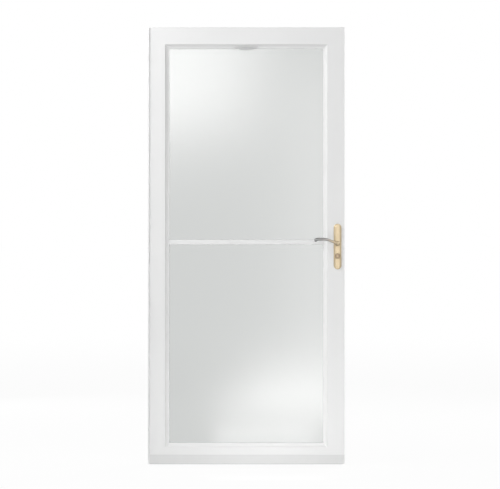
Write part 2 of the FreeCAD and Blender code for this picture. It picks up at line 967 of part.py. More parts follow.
latch_offset = sash_width + sash_latch_inset + sash_latch_length / 2
nodes["left_sash_latch"] = sash_latch(sash_left + latch_offset)
nodes["right_sash_latch"] = sash_latch(sash_right - latch_offset)

os.makedirs("parts", exist_ok=True)
for name, shape in nodes.items():
    shape = tidy(shape)
    box = shape.BoundBox
    print(
        "%-24s solids %d valid %s x %.1f..%.1f y %.1f..%.1f z %.1f..%.1f volume %.1f cm3"
        % (
            name,
            len(shape.Solids),
            shape.isValid(),
            box.XMin,
            box.XMax,
            box.YMin,
            box.YMax,
            box.ZMin,
            box.ZMax,
            shape.Volume / 1000.0,
        )
    )
    shape.exportStep("parts/%s.step" % name)
print("nodes", len(nodes))
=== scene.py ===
# %% [markdown]
# # An aluminium storm door
# The CAD model holds the door's real construction: hollow, coved aluminium members mitred round the
# leaf, a slim upper sash, two sheets of glass, a lever lock, and the rails that the door hangs in.
# This lesson loads that model as a fixed frame, gives every piece its finish, and adds the pieces
# that are too fine or too rounded for it. Outdoors is -Y, up is +Z, and lengths are in metres.

# %% Load the fixed frame
import math
import bmesh
import bpy
from mathutils import Matrix, Vector


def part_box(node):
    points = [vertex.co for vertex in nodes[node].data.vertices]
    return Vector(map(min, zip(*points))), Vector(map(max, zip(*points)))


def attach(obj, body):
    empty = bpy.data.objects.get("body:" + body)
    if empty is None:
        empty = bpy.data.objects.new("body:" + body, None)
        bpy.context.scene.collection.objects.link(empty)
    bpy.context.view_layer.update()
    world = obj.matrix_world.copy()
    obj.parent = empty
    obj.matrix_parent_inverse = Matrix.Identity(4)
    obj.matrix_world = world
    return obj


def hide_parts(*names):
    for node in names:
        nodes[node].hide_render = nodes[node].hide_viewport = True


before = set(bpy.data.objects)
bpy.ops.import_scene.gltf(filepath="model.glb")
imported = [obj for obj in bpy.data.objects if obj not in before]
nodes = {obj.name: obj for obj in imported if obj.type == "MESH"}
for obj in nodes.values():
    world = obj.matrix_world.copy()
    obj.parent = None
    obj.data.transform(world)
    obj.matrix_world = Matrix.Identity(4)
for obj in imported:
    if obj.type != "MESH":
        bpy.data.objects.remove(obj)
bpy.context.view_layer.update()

mm = 0.001

# %% [markdown]
# ## Helpers for finishes
# A finish in Blender is a small tree of nodes. Most of the finishes here start in the same way: a
# Principled shader, and noise that reads Object coordinates, so that a pattern is measured in metres
# and sits still on its piece. Three helpers keep the later cells short: they start a finish, add a node
# with its values, and link sockets in pairs.

# %% Helpers for finishes
def new_finish(name):
    material = bpy.data.materials.new(name)
    material.use_nodes = True
    tree = material.node_tree
    return material, tree, tree.nodes["Principled BSDF"]


def add_node(tree, kind, values=None, **settings):
    node = tree.nodes.new(kind)
    for key, value in settings.items():
        setattr(node, key, value)
    for key, value in (values or {}).items():
        node.inputs[key].default_value = value
    return node


def connect(tree, *pairs):
    for source, target in pairs:
        tree.links.new(source, target)

# %% [markdown]
# ## Noise, ramps and bumps
# No real surface is the same all over. Noise, which can be stretched along one direction, drives a ramp
# between two colours, a range of roughness or a bump, and these three feed the Principled shader. The
# last helper puts a finish on CAD nodes.

# %% Noise, ramps and bumps
def add_noise(tree, scale, detail=2.0, stretch=(1.0, 1.0, 1.0)):
    spots = add_node(tree, "ShaderNodeTexCoord")
    place = add_node(tree, "ShaderNodeMapping", {"Scale": stretch})
    noise = add_node(tree, "ShaderNodeTexNoise", {"Scale": scale, "Detail": detail})
    connect(tree,
            (spots.outputs["Object"], place.inputs["Vector"]),
            (place.outputs["Vector"], noise.inputs["Vector"]))
    return noise.outputs["Fac"]


def add_ramp(tree, source, low, high, start=0.3, end=0.7):
    ramp = add_node(tree, "ShaderNodeValToRGB")
    ramp.color_ramp.elements[0].position = start
    ramp.color_ramp.elements[0].color = (*low, 1.0)
    ramp.color_ramp.elements[1].position = end
    ramp.color_ramp.elements[1].color = (*high, 1.0)
    connect(tree, (source, ramp.inputs["Fac"]))
    return ramp.outputs["Color"]


def add_range(tree, source, low, high, start=0.3, end=0.7):
    span = add_node(tree, "ShaderNodeMapRange", {
        "From Min": start, "From Max": end, "To Min": low, "To Max": high})
    connect(tree, (source, span.inputs["Value"]))
    return span.outputs["Result"]


def add_bump(tree, source, strength, distance, under=None):
    bump = add_node(tree, "ShaderNodeBump", {"Strength": strength, "Distance": distance})
    connect(tree, (source, bump.inputs["Height"]))
    if under is not None:
        connect(tree, (under, bump.inputs["Normal"]))
    return bump.outputs["Normal"]


def feed(tree, shader, tone, gloss, normal):
    connect(tree,
            (tone, shader.inputs["Base Color"]),
            (gloss, shader.inputs["Roughness"]),
            (normal, shader.inputs["Normal"]))


def dress(material, *names):
    for name in names:
        for slot in nodes[name].material_slots:
            slot.material = material
    print(material.name, "on", len(names), "CAD nodes")

# %% [markdown]
# ## White powder coat
# The extrusions are sprayed with white powder and baked. Close up, the coat has a faint orange-peel
# ripple about a millimetre across, and under it the long die lines of the extrusion still show. A flat
# white would look like paper, so the bump adds both: round noise for the peel, and noise stretched
# along the member for the die lines. Uprights and level members need their own stretch, so the same
# recipe makes a finish for each. The expander along the foot is a shade darker. A broad, very weak
# change of tone stands for the uneven spray.

# %% White powder coat
upright_lines = (1.0, 1.0, 0.006)
level_lines = (0.006, 1.0, 1.0)
coat_dark = (0.835, 0.838, 0.836)
coat_light = (0.865, 0.867, 0.864)
expander_dark = (0.735, 0.738, 0.736)
expander_light = (0.76, 0.763, 0.76)


def powder_coat(name, die_lines, dark, light):
    material, tree, shader = new_finish(name)
    tone = add_ramp(tree, add_noise(tree, scale=2.3, detail=3.0), dark, light)
    gloss = add_range(tree, add_noise(tree, scale=55.0, detail=3.0), low=0.36, high=0.46)
    drawn = add_noise(tree, scale=420.0, stretch=die_lines)
    lines = add_bump(tree, drawn, strength=0.10, distance=0.00012)
    peel = add_bump(tree, add_noise(tree, scale=760.0), strength=0.16, distance=0.00016, under=lines)
    feed(tree, shader, tone, gloss, peel)
    return material


upright_coat = powder_coat("white_coat_upright", upright_lines, coat_dark, coat_light)
level_coat = powder_coat("white_coat_level", level_lines, coat_dark, coat_light)
expander_coat = powder_coat("white_coat_expander", level_lines, expander_dark, expander_light)
dress(upright_coat, "hinge_rail", "latch_rail", "hinge_stile", "latch_stile",
      "sash_left_stile", "sash_right_stile")
dress(level_coat, "head_rail", "top_rail", "bottom_rail", "sash_top_rail", "sash_bottom_rail",
      "lower_glass_edge_trim")
dress(expander_coat, "bottom_expander")

# %% [markdown]
# ## Tempered glass
# Each half of the door has one sheet of tempered glass. A thin flat sheet hardly bends the view, so a
# Transparent shader with a weak grey-green tint is enough for what is behind it, and it lets the lamps
# through. What is seen in front of it is a glossy layer mixed in by Fresnel. Only the face towards the
# viewer reflects here, so its index of refraction is raised to give the share that both faces send
# back. Tempering leaves a slow roller wave in the sheet, and a light haze differs from place to place.

# %% Tempered glass
glass_tint = (0.779, 0.788, 0.783, 1.0)
sheen_tint = (0.975, 0.97, 0.965, 1.0)
both_faces_index = 1.8
roller_stretch = (1.0, 1.0, 0.35)

glass, tree, shader = new_finish("tempered_glass")
tree.nodes.remove(shader)
rollers = add_noise(tree, scale=3.5, detail=1.0, stretch=roller_stretch)
wave = add_bump(tree, rollers, strength=0.05, distance=0.002)
haze = add_range(tree, add_noise(tree, scale=2.5, detail=0.0), low=0.19, high=0.22, start=0.0, end=1.0)
clear = add_node(tree, "ShaderNodeBsdfTransparent", {"Color": glass_tint})
sheen = add_node(tree, "ShaderNodeBsdfGlossy", {"Color": sheen_tint})
edge = add_node(tree, "ShaderNodeFresnel", {"IOR": both_faces_index})
facing = add_node(tree, "ShaderNodeNewGeometry")
front = add_node(tree, "ShaderNodeMath", {0: 1.0}, operation="SUBTRACT")
share = add_node(tree, "ShaderNodeMath", operation="MULTIPLY")
sheet = add_node(tree, "ShaderNodeMixShader")
connect(tree,
        (wave, sheen.inputs["Normal"]),
        (wave, edge.inputs["Normal"]),
        (haze, sheen.inputs["Roughness"]),
        (facing.outputs["Backfacing"], front.inputs[1]),
        (edge.outputs["Fac"], share.inputs[0]),
        (front.outputs["Value"], share.inputs[1]),
        (share.outputs["Value"], sheet.inputs["Fac"]),
        (clear.outputs["BSDF"], sheet.inputs[1]),
        (sheen.outputs["BSDF"], sheet.inputs[2]),
        (sheet.outputs["Shader"], tree.nodes["Material Output"].inputs["Surface"]))
dress(glass, "upper_glass", "lower_glass")

# %% [markdown]
# ## Vinyl, rubber and plastic
# The glass sits in grey vinyl gaskets, the rails carry soft dark bulb seals, the foot has a vinyl
# sweep, and the pull and the sash latches are plastic. They are matt and slightly uneven, so one recipe
# with fine noise in colour, gloss and bump serves them all, with a different colour and grain for each.

# %% Vinyl, rubber and plastic
def moulded(name, dark, light, rough, grain):
    material, tree, shader = new_finish(name)
    tone = add_ramp(tree, add_noise(tree, scale=60.0, detail=4.0), dark, light)
    gloss = add_range(tree, add_noise(tree, scale=grain * 0.5), rough - 0.06, rough + 0.06)
    pores = add_bump(tree, add_noise(tree, scale=grain), strength=0.25, distance=0.0001)
    feed(tree, shader, tone, gloss, pores)
    return material


gasket_vinyl = moulded("gasket_vinyl", (0.50, 0.51, 0.51), (0.58, 0.59, 0.59),
                       rough=0.55, grain=900.0)
seal_rubber = moulded("seal_rubber", (0.055, 0.055, 0.057), (0.085, 0.085, 0.086),
                      rough=0.62, grain=1200.0)
sweep_vinyl = moulded("sweep_vinyl", (0.50, 0.505, 0.505), (0.57, 0.575, 0.575),
                      rough=0.55, grain=900.0)
pull_plastic = moulded("pull_plastic", (0.68, 0.685, 0.685), (0.74, 0.745, 0.745),
                       rough=0.48, grain=1400.0)
latch_plastic = moulded("latch_plastic", (0.79, 0.79, 0.785), (0.83, 0.83, 0.825),
                        rough=0.45, grain=1600.0)
dress(gasket_vinyl, "upper_glass_gasket", "lower_glass_gasket")
dress(seal_rubber, "hinge_weatherstrip", "latch_weatherstrip", "head_weatherstrip", "meeting_rail_seal")
dress(sweep_vinyl, "door_sweep")
dress(latch_plastic, "left_sash_latch", "right_sash_latch")

# %% [markdown]
# ## Brass and steel
# The lock plates are satin brass, polished along their length, which leaves fine upright scratches. The
# key cylinder and its ring are a browner brass. The small parts in the door's edge are plated steel.
# Metal shows hardly any colour of its own beyond its reflections, so the Metallic value is 1 and the
# character sits in roughness and bump. The lever's brass is pale here, because the next cell paints shade
# into it.

# %% Brass and steel
upright_grain = (1.0, 1.0, 0.03)
lever_grain = (0.04, 1.0, 1.0)
no_grain = (1.0, 1.0, 1.0)


def brushed_metal(name, dark, light, rough, stretch, scratch):
    material, tree, shader = new_finish(name)
    shader.inputs["Metallic"].default_value = 1.0
    tone = add_ramp(tree, add_noise(tree, scale=45.0, detail=4.0), dark, light)
    smear = add_noise(tree, scale=500.0, detail=3.0, stretch=stretch)
    gloss = add_range(tree, smear, rough - 0.05, rough + 0.07)
    lines = add_bump(tree, add_noise(tree, scale=1500.0, stretch=stretch), scratch, distance=0.00006)
    feed(tree, shader, tone, gloss, lines)
    return material


plate_brass = brushed_metal("plate_brass", (0.41, 0.335, 0.222), (0.47, 0.385, 0.262),
                            rough=0.30, stretch=upright_grain, scratch=0.20)
cylinder_brass = brushed_metal("cylinder_brass", (0.246, 0.188, 0.131), (0.294, 0.226, 0.158),
                               rough=0.30, stretch=no_grain, scratch=0.15)
lever_brass = brushed_metal("lever_brass", (0.84, 0.84, 0.84), (1.0, 1.0, 1.0),
                            rough=0.32, stretch=lever_grain, scratch=0.18)
plated_steel = brushed_metal("plated_steel", (0.52, 0.52, 0.525), (0.60, 0.60, 0.605),
                             rough=0.34, stretch=upright_grain, scratch=0.20)
dress(plated_steel, "hinge_pin", "lever_spindle", "latch_bolt", "lock_faceplate", "strike_plate")
dress(cylinder_brass, "key_cylinder")

# %% [markdown]
# ## Painted shade on the levers
# The levers' colour carries painted shade: the tip is a dim grey that stands in for shade and dark
# reflection, and towards the neck the metal turns brown and then brass, painted lighter to offset the
# shadow under the bar. The X value of the Object coordinates runs along the lever, so a ramp over it gives
# the three tones, and the noise of the last cell makes them uneven. A Mix node has sockets for every kind
# of data, and its colours are inputs 6 and 7 and output 2.

# %% Painted shade on the levers
# Painted shade along the lever: dim grey at the tip, brown in the middle, painted lighter brass at the
# neck.
shade_tip_grey = (0.205, 0.208, 0.205)
shade_middle_brown = (0.255, 0.240, 0.228)
lit_neck_brass = (0.385, 0.315, 0.215)
shade_from_x = 0.775
shade_to_x = 0.875


def paint_lever_shade(material):
    tree = material.node_tree
    shader = tree.nodes["Principled BSDF"]
    mottle = shader.inputs["Base Color"].links[0].from_socket
    spots = add_node(tree, "ShaderNodeTexCoord")
    split = add_node(tree, "ShaderNodeSeparateXYZ")
    connect(tree, (spots.outputs["Object"], split.inputs["Vector"]))
    along = add_range(tree, split.outputs["X"], low=0.0, high=1.0, start=shade_from_x, end=shade_to_x)
    # The ramp paints shade at the tip and paints light at the neck.
    lever_shade = add_ramp(tree, along, shade_tip_grey, lit_neck_brass, start=0.08, end=0.92)
    lever_shade.node.color_ramp.elements.new(0.6).color = (*shade_middle_brown, 1.0)
    both = add_node(tree, "ShaderNodeMix", {"Factor": 1.0}, data_type="RGBA", blend_type="MULTIPLY")
    connect(tree,
            (lever_shade, both.inputs[6]),
            (mottle, both.inputs[7]),
            (both.outputs[2], shader.inputs["Base Color"]))


paint_lever_shade(lever_brass)
# Prints where the painted shade runs along the lever.
print("lever wear from x", shade_from_x, "to", shade_to_x)

# %% [markdown]
# ## Helpers for pieces
# New pieces are made as meshes in code. A piece keeps its place in its mesh and its object stays at the
# origin, as the CAD nodes do, so no later step can shift it. It has one material, rides on a body of the
# frame, takes the finish that it is given, and may stand for a CAD node, which is then hidden.
# Where a modifier makes the mesh, a carrier object holds it for a moment: the evaluated result is copied
# into a plain mesh, and the carrier goes.

# %% Helpers for pieces
smooth_below = math.radians(38.0)


def settle(shape, name):
    mesh = bpy.data.meshes.new(name)
    shape.to_mesh(mesh)
    shape.free()
    mesh.polygons.foreach_set("use_smooth", [True] * len(mesh.polygons))
    mesh.set_sharp_from_angle(angle=smooth_below)
    return mesh


def make_piece(name, mesh, body, material, stands_for=()):
    piece = bpy.data.objects.new(name, mesh)
    bpy.context.scene.collection.objects.link(piece)
    mesh.materials.clear()
    mesh.materials.append(material)
    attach(piece, body)
    if stands_for:
        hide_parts(*stands_for)
    print(name, "rides on", body, "with", len(mesh.polygons), "faces")


def new_carrier(mesh):
    carrier = bpy.data.objects.new("carrier", mesh)
    bpy.context.scene.collection.objects.link(carrier)
    return carrier


def plain_mesh(carrier):
    bpy.context.view_layer.update()
    seen = carrier.evaluated_get(bpy.context.evaluated_depsgraph_get())
    mesh = bpy.data.meshes.new_from_object(seen)
    carrier.modifiers.clear()
    bpy.data.objects.remove(carrier)
    return mesh

# %% [markdown]
# ## Soft edges on rails and sash
# An extrusion has no knife edges: the die leaves a radius of a few tenths of a millimetre, and the saw
# cut at a mitre is broken by hand, which leaves a hairline in the corner. The CAD rails and sash members
# end in sharp corners, so most get a copy here, and so do the two small plates at the lock. The copy's
# triangles are merged into whole faces, and every long outer edge is bevelled. Weighted normals then
# keep the wide faces flat and put all the rounding into the narrow strips. A Bevel node in the finish
# would only pretend, and would not export. The leaf's own members keep their CAD mesh: their coves are
# rounded already, and their fine steps leave no room.

# %% Soft edges on rails and sash
edge_radius = 0.3 * mm
shortest_edge = 4.0 * mm
same_point = 0.001 * mm
flat_turn = math.radians(1.0)
sharp_turn = math.radians(40.0)


def soft_copy(node):
    shape = bmesh.new()
    shape.from_mesh(nodes[node].data)
    shape.transform(nodes[node].matrix_world)
    bmesh.ops.remove_doubles(shape, verts=shape.verts, dist=same_point)
    bmesh.ops.dissolve_limit(shape, angle_limit=flat_turn, verts=shape.verts, edges=shape.edges)
    corners = [edge for edge in shape.edges if edge.is_convex and edge.calc_length() > shortest_edge
               and edge.calc_face_angle() > sharp_turn]
    bmesh.ops.bevel(shape, geom=corners, offset=edge_radius, segments=2, profile=0.5, affect="EDGES",
                    clamp_overlap=True)
    carrier = new_carrier(settle(shape, node + "_soft"))
    weigh = carrier.modifiers.new("weigh", "WEIGHTED_NORMAL")
    weigh.weight = 100
    weigh.keep_sharp = True
    mesh = plain_mesh(carrier)
    mesh.name = node + "_soft"
    return mesh


def soften(body, slot, *names):
    for node in names:
        finish = nodes[node].material_slots[0].material
        make_piece(node + "_soft", soft_copy(node), body, finish, [node])


soften("mounting_frame", "white_aluminium", "hinge_rail", "latch_rail", "head_rail")
soften("door_leaf", "white_aluminium", "sash_left_stile", "sash_right_stile", "sash_top_rail")
soften("door_leaf", "steel", "lock_faceplate")
soften("mounting_frame", "steel", "strike_plate")

# %% [markdown]
# ## A Geometry Nodes tree for rows
# A continuous hinge has dozens of equal knuckles, and its leaves are riveted at even steps. Copying
# them in a loop would work, but a node tree keeps the sizes as named inputs that can be changed later.
# The tree lays a Mesh Line of points, puts one piece on each, turns each piece to face the right way
# with a seeded random spin, joins them to the geometry that comes in, realizes the instances and sets
# the material. Random Value has sockets for every kind of data, and for a plain number its upper limit
# is input 3 and its result is output 1.

# %% A tree for rows
def start_tree(name, inputs):
    tree = bpy.data.node_groups.new(name, "GeometryNodeTree")
    tree.interface.new_socket("Geometry", in_out="INPUT", socket_type="NodeSocketGeometry")
    for label, kind in inputs:
        tree.interface.new_socket(label, in_out="INPUT", socket_type=kind)
    tree.interface.new_socket("Geometry", in_out="OUTPUT", socket_type="NodeSocketGeometry")
    return tree, tree.nodes.new("NodeGroupInput"), tree.nodes.new("NodeGroupOutput")


row_tree, row_in, row_out = start_tree("row_of_pieces", [
    ("Piece", "NodeSocketObject"),
    ("Count", "NodeSocketInt"),
    ("First", "NodeSocketVector"),
    ("Step", "NodeSocketVector"),
    ("Facing", "NodeSocketVector"),
    ("Spin", "NodeSocketFloat"),
    ("Seed", "NodeSocketInt"),
    ("Material", "NodeSocketMaterial"),
])
row_line = add_node(row_tree, "GeometryNodeMeshLine", mode="OFFSET")
row_piece = add_node(row_tree, "GeometryNodeObjectInfo", {"As Instance": True})
row_aim = add_node(row_tree, "FunctionNodeAlignRotationToVector", axis="Z")
row_spin = add_node(row_tree, "FunctionNodeRandomValue", data_type="FLOAT")
row_turn = add_node(row_tree, "ShaderNodeCombineXYZ")
row_euler = add_node(row_tree, "FunctionNodeEulerToRotation")
row_both = add_node(row_tree, "FunctionNodeRotateRotation", rotation_space="LOCAL")
row_set = add_node(row_tree, "GeometryNodeInstanceOnPoints")
row_join = add_node(row_tree, "GeometryNodeJoinGeometry")
row_real = add_node(row_tree, "GeometryNodeRealizeInstances")
row_coat = add_node(row_tree, "GeometryNodeSetMaterial")
connect(row_tree,
        (row_in.outputs["Count"], row_line.inputs["Count"]),
        (row_in.outputs["First"], row_line.inputs["Start Location"]),
        (row_in.outputs["Step"], row_line.inputs["Offset"]),
        (row_in.outputs["Piece"], row_piece.inputs["Object"]),
        (row_in.outputs["Facing"], row_aim.inputs["Vector"]),
        (row_in.outputs["Spin"], row_spin.inputs[3]),
        (row_in.outputs["Seed"], row_spin.inputs["Seed"]),
        (row_spin.outputs[1], row_turn.inputs["Z"]),
        (row_turn.outputs["Vector"], row_euler.inputs["Euler"]),
        (row_aim.outputs["Rotation"], row_both.inputs["Rotation"]),
        (row_euler.outputs["Rotation"], row_both.inputs["Rotate By"]),
        (row_line.outputs["Mesh"], row_set.inputs["Points"]),
        (row_piece.outputs["Geometry"], row_set.inputs["Instance"]),
        (row_both.outputs["Rotation"], row_set.inputs["Rotation"]),
        (row_set.outputs["Instances"], row_join.inputs["Geometry"]),
        (row_in.outputs["Geometry"], row_join.inputs["Geometry"]),
        (row_join.outputs["Geometry"], row_real.inputs["Geometry"]),
        (row_real.outputs["Geometry"], row_coat.inputs["Geometry"]),
        (row_in.outputs["Material"], row_coat.inputs["Material"]),
        (row_coat.outputs["Geometry"], row_out.inputs["Geometry"]))
print(row_tree.name, "has", len(row_tree.nodes), "nodes")

# %% [markdown]
# A tree works on an object that carries it as a modifier. Its inputs are set by the identifiers of their
# sockets before the first evaluation. The pattern that a row repeats is an object too, but it stays out
# of the scene, and goes when the row is made. A row without a spin keeps every piece at the same angle.

# %% Grow a mesh from a tree
full_turn = 6.28


def grow(start, tree, values):
    carrier = new_carrier(start)
    modifier = carrier.modifiers.new("grow", "NODES")
    modifier.node_group = tree
    for item in tree.interface.items_tree:
        if item.in_out == "INPUT" and item.name in values:
            modifier[item.identifier] = values[item.name]
    return plain_mesh(carrier)


def in_row(start, shape, material, count, first, step, facing=(0.0, 0.0, 1.0), spin=0.0, seed=1):
    pattern = bpy.data.objects.new("pattern", settle(shape, "pattern"))
    mesh = grow(start, row_tree, {
        "Piece": pattern, "Count": count, "First": first, "Step": step, "Facing": facing,
        "Spin": spin, "Seed": seed, "Material": material})
    bpy.data.objects.remove(pattern)
    return mesh

# %% [markdown]
# ## Turned and rounded shapes
# Round parts are turned: a profile of radius and height pairs is carried round the Z axis, a skin of
# faces joins one loop to the next, and a point on the axis closes the end. A tube has no such point, and
# its last loop meets its first. Bars and strips are blocks with every edge rounded.

# %% Turned and rounded shapes
def in_mm(pairs):
    return [(first * mm, second * mm) for first, second in pairs]


def circle(sides):
    turns = [2.0 * math.pi * i / sides for i in range(sides)]
    return [(math.cos(t), math.sin(t)) for t in turns]


def skin(shape, loops):
    for low, high in zip(loops, loops[1:]):
        count = max(len(low), len(high))
        for i in range(count):
            j = (i + 1) % count
            corners = [low[i % len(low)], low[j % len(low)], high[j % len(high)], high[i % len(high)]]
            corners = list(dict.fromkeys(corners))
            if len(corners) > 2:
                shape.faces.new(corners)


def turned(profile, sides, tube=False):
    shape = bmesh.new()
    loops = []
    for radius, height in profile:
        spread = circle(sides) if radius else [(0.0, 0.0)]
        loops.append([shape.verts.new((radius * x, radius * y, height)) for x, y in spread])
    if tube:
        loops.append(loops[0])
    skin(shape, loops)
    bmesh.ops.recalc_face_normals(shape, faces=shape.faces)
    return shape


def rounded_block(low, high, edge):
    shape = bmesh.new()
    bmesh.ops.create_cube(shape, size=1.0)
    size = Vector(high) - Vector(low)
    middle = (Vector(low) + Vector(high)) / 2
    shape.transform(Matrix.Translation(middle) @ Matrix.Diagonal((*size, 1.0)))
    bmesh.ops.bevel(shape, geom=shape.edges[:], offset=edge, segments=2, profile=0.5, affect="EDGES")
    return shape


def add_shape(shape, other):
    mesh = bpy.data.meshes.new("joining")
    other.to_mesh(mesh)
    other.free()
    shape.from_mesh(mesh)
    bpy.data.meshes.remove(mesh)

# %% [markdown]
# ## The continuous hinge
# The door hangs on one long hinge. Two strips of sheet metal are rolled round a common pin, and their
# knuckles take turns along it. The CAD hinge has few, long knuckles to stay light, so both of its leaves
# are replaced here by strips with 39 knuckles. One knuckle is a tube with softened rims and the tab that
# leads into its strip.

# %% Knuckles of the hinge
hinge_low, hinge_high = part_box("hinge_fixed_leaf")
knuckles = 39
barrel = 3.2 * mm
bore = 1.55 * mm
knuckle_gap = 0.25 * mm
rim = 0.45 * mm
soft_rim = rim * 0.3
strip_thick = 1.5 * mm
notch = 4.2 * mm
tab_overlap = 0.5 * mm
tab_edge = 0.2 * mm
axis_x = hinge_low.x + barrel
axis_y = hinge_low.y + barrel
pitch = (hinge_high.z - hinge_low.z) / knuckles
half_knuckle = pitch / 2 - knuckle_gap


def knuckle(side):
    shape = turned([
        (bore, -half_knuckle),
        (barrel - rim, -half_knuckle),
        (barrel - soft_rim, -half_knuckle + soft_rim),
        (barrel, -half_knuckle + rim),
        (barrel, half_knuckle - rim),
        (barrel - soft_rim, half_knuckle - soft_rim),
        (barrel - rim, half_knuckle),
        (bore, half_knuckle),
    ], sides=28, tube=True)
    near, far = sorted((side * (barrel - strip_thick), side * barrel))
    tab = rounded_block((near, 0.0, -half_knuckle), (far, notch + tab_overlap, half_knuckle), tab_edge)
    add_shape(shape, tab)
    return shape


print("hinge pitch", round(pitch / mm, 2), "mm")

# %% [markdown]
# The row tree sets every second knuckle on one strip, and the others on the second strip, and each strip
# rides on its own body. A row of flat rivets holds each of them.

# %% Strips of the hinge
moving_low, moving_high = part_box("hinge_moving_leaf")
strip_edge = 0.25 * mm
rivets = 13
knuckles_per_rivet = 3


def rivet():
    return turned(in_mm([(0.0, 0.0), (2.6, 0.0), (2.5, 0.35), (1.9, 0.75), (0.0, 0.9)]), sides=14)


def hinge_leaf(side, first, low_z, high_z, rivet_start, name):
    inner = axis_x + side * (barrel - strip_thick)
    near, far = sorted((inner, axis_x + side * barrel))
    strip = rounded_block((near, axis_y + notch, low_z), (far, hinge_high.y, high_z), strip_edge)
    middle = hinge_low.z + (first + 0.5) * pitch
    mesh = in_row(settle(strip, name), knuckle(side), upright_coat, len(range(first, knuckles, 2)),
                  (axis_x, axis_y, middle), (0.0, 0.0, 2 * pitch))
    row_y = (axis_y + notch + hinge_high.y) / 2
    return in_row(mesh, rivet(), upright_coat, rivets, (inner, row_y, rivet_start),
                  (0.0, 0.0, knuckles_per_rivet * pitch), (-side, 0.0, 0.0), full_turn, seed=4)


fixed_mesh = hinge_leaf(-1, 0, hinge_low.z, hinge_high.z, hinge_low.z + 0.5 * pitch,
                        "hinge_fixed_strip")
moving_mesh = hinge_leaf(1, 1, moving_low.z, moving_high.z, hinge_low.z + 2.0 * pitch,
                         "hinge_moving_strip")
make_piece("hinge_fixed_strip", fixed_mesh, "mounting_frame", upright_coat,
           ["hinge_fixed_leaf"])
make_piece("hinge_moving_strip", moving_mesh, "door_leaf", upright_coat,
           ["hinge_moving_leaf"])

# %% [markdown]
# ## Lock plates
# Each lock plate is a long brass plate with round ends: a flat rim, a small step up, and a slightly
# crowned field that carries the lever and the key cylinder. The CAD plate has flat bevels, and light
# would show them as facets. Here the outline is repeated in rings, each a little further in and higher,
# which gives a rolled edge and a soft step. The stack is closed at both ends.

# %% Plates as stacks of rings
def stack_rings(rings):
    shape = bmesh.new()
    loops = [[shape.verts.new(point) for point in ring] for ring in rings]
    shape.faces.new(list(reversed(loops[0])))
    skin(shape, loops)
    shape.faces.new(loops[-1])
    bmesh.ops.recalc_face_normals(shape, faces=shape.faces)
    return shape


def round_ended(half_width, half_height, steps=16):
    straight = half_height - half_width
    points = []
    for start, shift in ((0.0, straight), (math.pi, -straight)):
        for i in range(steps + 1):
            t = start + math.pi * i / steps
            points.append((half_width * math.cos(t), shift + half_width * math.sin(t)))
    return points


def raised_plate(width, height, rings):
    stack = []
    for inset, rise in in_mm(rings):
        outline = round_ended(width / 2 - inset, height / 2 - inset)
        stack.append([(x, y, rise) for x, y in outline])
    return stack_rings(stack)


def shape_piece(name, shape, body, material, stands_for=()):
    make_piece(name, settle(shape, name), body, material, stands_for)

# %% [markdown]
# A plate is made lying flat and then turned up to face outdoors or indoors. Both plates have the same
# rings, as pairs of inset and height in millimetres.

# %% Lock plates outdoors and indoors
plate_rings = [
    (0.0, 0.0), (0.0, 3.2), (0.25, 4.2), (0.9, 4.8), (1.8, 5.0), (3.6, 5.0), (4.2, 5.15), (4.7, 5.7),
    (5.3, 6.35), (6.2, 6.6), (8.5, 6.8), (12.0, 6.95)]


def outdoors(x, z, y):
    return Matrix.Translation((x, y, z)) @ Matrix.Rotation(math.pi / 2, 4, "X")


def indoors(x, z, y):
    return Matrix.Translation((x, y, z)) @ Matrix.Rotation(-math.pi / 2, 4, "X")


outside_low, outside_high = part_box("outside_escutcheon")
inside_low, inside_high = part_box("inside_escutcheon")
plate_x = (outside_low.x + outside_high.x) / 2
plate_z = (outside_low.z + outside_high.z) / 2
plate_height = outside_high.z - outside_low.z

outside_plate = raised_plate(outside_high.x - outside_low.x, plate_height, plate_rings)
outside_plate.transform(outdoors(plate_x, plate_z, outside_high.y))
shape_piece("outside_lock_plate", outside_plate, "door_leaf", plate_brass,
            ["outside_escutcheon"])
inside_plate = raised_plate(inside_high.x - inside_low.x, plate_height, plate_rings)
inside_plate.transform(indoors(plate_x, plate_z, inside_low.y))
shape_piece("inside_lock_plate", inside_plate, "door_leaf", plate_brass,
            ["inside_escutcheon"])

# %% [markdown]
# ## Key cylinder ring and thumb turn
# Outdoors a raised ring guards the key cylinder, which the CAD model already has with its keyway. Indoors
# the same cylinder ends in a thumb turn: a round base and an upright paddle with soft edges. The ring and
# the base are turned, and the paddle is a small plate, a stack of rings like the lock plates.

# %% Key cylinder ring and thumb turn
cylinder_low, cylinder_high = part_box("key_cylinder")
cylinder_z = (cylinder_low.z + cylinder_high.z) / 2
ring_seat = 0.3 * mm
ring = turned(in_mm([(9.6, 0.0), (12.4, 0.0), (12.3, 0.9), (11.6, 1.7), (10.6, 2.0), (9.6, 1.6)]),
              sides=48, tube=True)
ring.transform(outdoors(plate_x, cylinder_z, outside_low.y + ring_seat))
shape_piece("key_cylinder_ring", ring, "door_leaf", cylinder_brass)

turn_low, turn_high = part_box("thumb_turn")
paddle_width = 9.0 * mm
paddle_rings = [(0.0, 8.8), (0.0, 14.0), (0.0, 19.0), (0.35, 20.6), (1.0, 21.5), (1.9, 21.9), (3.2, 22.0)]
turn = turned(in_mm([(0.0, 0.0), (9.5, 0.0), (9.5, 8.0), (9.1, 8.7), (8.3, 9.0), (0.0, 9.0)]), sides=48)
add_shape(turn, raised_plate(paddle_width, turn_high.z - turn_low.z, paddle_rings))
turn.transform(indoors(plate_x, cylinder_z, turn_low.y))
shape_piece("thumb_turn_handle", turn, "door_leaf", plate_brass, ["thumb_turn"])

# %% [markdown]
# ## Levers
# A lever is a cast bar that leaves its round neck at a slant, levels out for the hand, and curls down at
# the tip. It follows a path, so a second node tree sweeps an oval along it. The path is a line of points
# with a "girth" value at each: near 1 along the bar, with a waist after the neck and a slight swell
# before the tip, and down to almost nothing at the tip along a quarter circle, which rounds it off. Its
# shank, knee, grip and curl have the sizes of the CAD lever, which it replaces.

